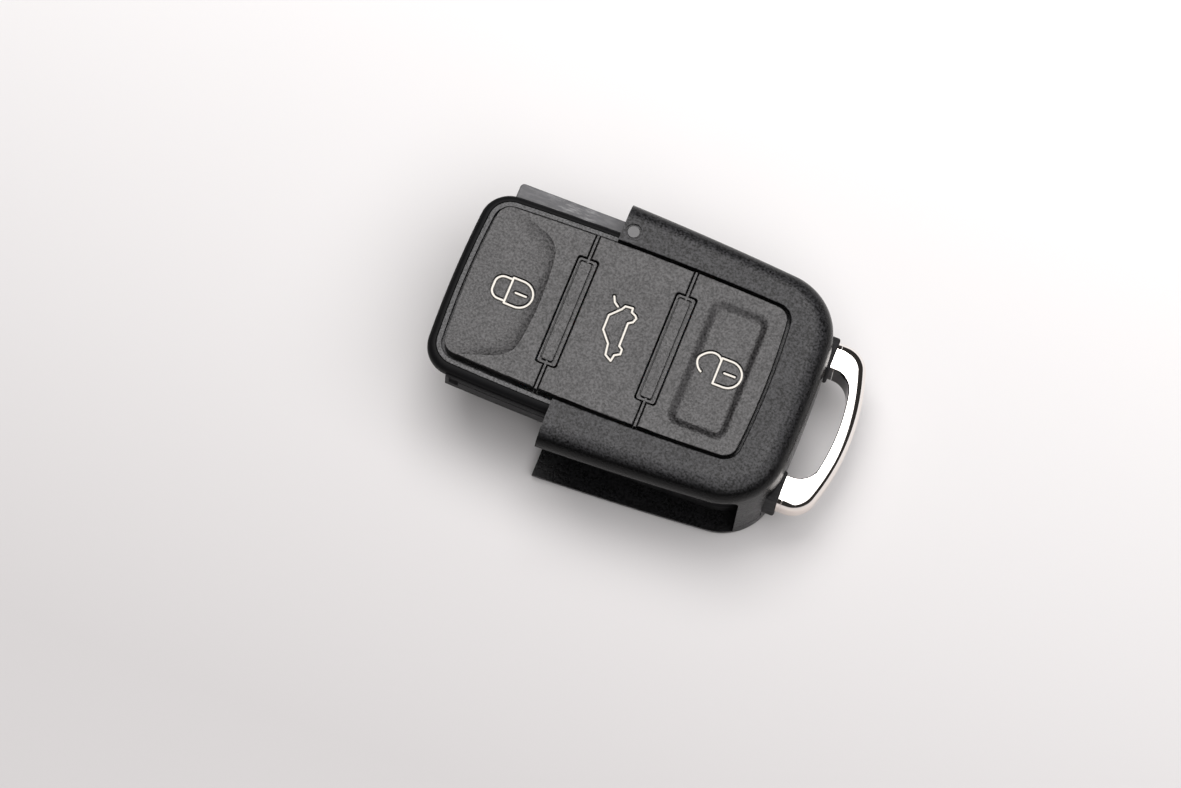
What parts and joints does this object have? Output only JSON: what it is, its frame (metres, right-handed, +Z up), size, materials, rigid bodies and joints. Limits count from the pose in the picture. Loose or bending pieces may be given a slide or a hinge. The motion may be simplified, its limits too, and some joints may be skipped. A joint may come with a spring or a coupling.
{
  "type": "key fob shell",
  "caption": "Remote half of a folding car key: pad of push buttons in a grained black shell, side rails for the key head, blade slot and a bright key ring loop.",
  "frame": {"origin": "centre of the overall outline, on the flat underside", "axes": "+X from the key head's end to the key ring loop, +Y from the blade slot to the far side, +Z up through the buttons"},
  "size_m": [0.056, 0.0361, 0.016],
  "materials": {
    "grained_black": "fine moulded grain, matte",
    "satin_black": "smooth satin",
    "button_black": "fine moulded grain, matte",
    "symbol_cream": "satin",
    "bright_chrome": "polished",
    "clear_lens": "clear, polished end",
    "silicone": "translucent grey silicone",
    "board_green": "green solder resist",
    "chip_black": "moulded epoxy",
    "ceramic_tan": "ceramic",
    "resistor_black": "glazed",
    "can_metal": "pressed metal can",
    "plunger_white": "moulded",
    "copper": "etched copper",
    "lamp_amber": "moulded clear red",
    "cell_steel": "nickel plated",
    "contact_steel": "plated spring strip"
  },
  "bodies": {
    "shell": {"top_cover": "grained_black", "bottom_cover": "grained_black", "inner_housing": "satin_black", "button_frame": "button_black", "key_ring_loop": "bright_chrome", "loop_collars": "bright_chrome", "light_guide": "clear_lens", "switch_mat": "silicone", "circuit_board": "board_green", "microcontroller": "chip_black", "radio_chip": "chip_black", "crystal": "can_metal", "saw_resonator": "can_metal", "chip_capacitors": "ceramic_tan", "chip_resistors": "resistor_black", "loop_antenna": "copper", "status_led": "lamp_amber", "battery": "cell_steel", "negative_contact": "contact_steel", "positive_contact": "contact_steel", "lock_dome": "silicone", "lock_switch": "can_metal", "boot_dome": "silicone", "boot_switch": "can_metal", "unlock_dome": "silicone", "unlock_switch": "can_metal"},
    "lock_key": {"lock_button": "button_black", "lock_symbol": "symbol_cream"},
    "lock_post": {"lock_plunger": "plunger_white"},
    "boot_key": {"boot_button": "button_black", "boot_symbol": "symbol_cream"},
    "boot_post": {"boot_plunger": "plunger_white"},
    "unlock_key": {"unlock_button": "button_black", "unlock_symbol": "symbol_cream"},
    "unlock_post": {"unlock_plunger": "plunger_white"}
  },
  "joints": [
    {"name": "lock_press", "type": "slide", "parent": "shell", "child": "lock_key", "axis": [0, 0, -1], "range_m": [0, 0.00035], "stiffness_N_per_m": 2000, "springref_m": -0.0006, "deforming": ["lock_dome"]},
    {"name": "lock_switch_press", "type": "slide", "parent": "shell", "child": "lock_post", "axis": [0, 0, -1], "range_m": [0, 0.00035]},
    {"name": "boot_press", "type": "slide", "parent": "shell", "child": "boot_key", "axis": [0, 0, -1], "range_m": [0, 0.00035], "stiffness_N_per_m": 2000, "springref_m": -0.0006, "deforming": ["boot_dome"]},
    {"name": "boot_switch_press", "type": "slide", "parent": "shell", "child": "boot_post", "axis": [0, 0, -1], "range_m": [0, 0.00035]},
    {"name": "unlock_press", "type": "slide", "parent": "shell", "child": "unlock_key", "axis": [0, 0, -1], "range_m": [0, 0.00035], "stiffness_N_per_m": 2000, "springref_m": -0.0006, "deforming": ["unlock_dome"]},
    {"name": "unlock_switch_press", "type": "slide", "parent": "shell", "child": "unlock_post", "axis": [0, 0, -1], "range_m": [0, 0.00035]}
  ],
  "couplings": [
    {"joint": "lock_switch_press", "follows": "lock_press", "ratio": 1},
    {"joint": "boot_switch_press", "follows": "boot_press", "ratio": 1},
    {"joint": "unlock_switch_press", "follows": "unlock_press", "ratio": 1}
  ]
}
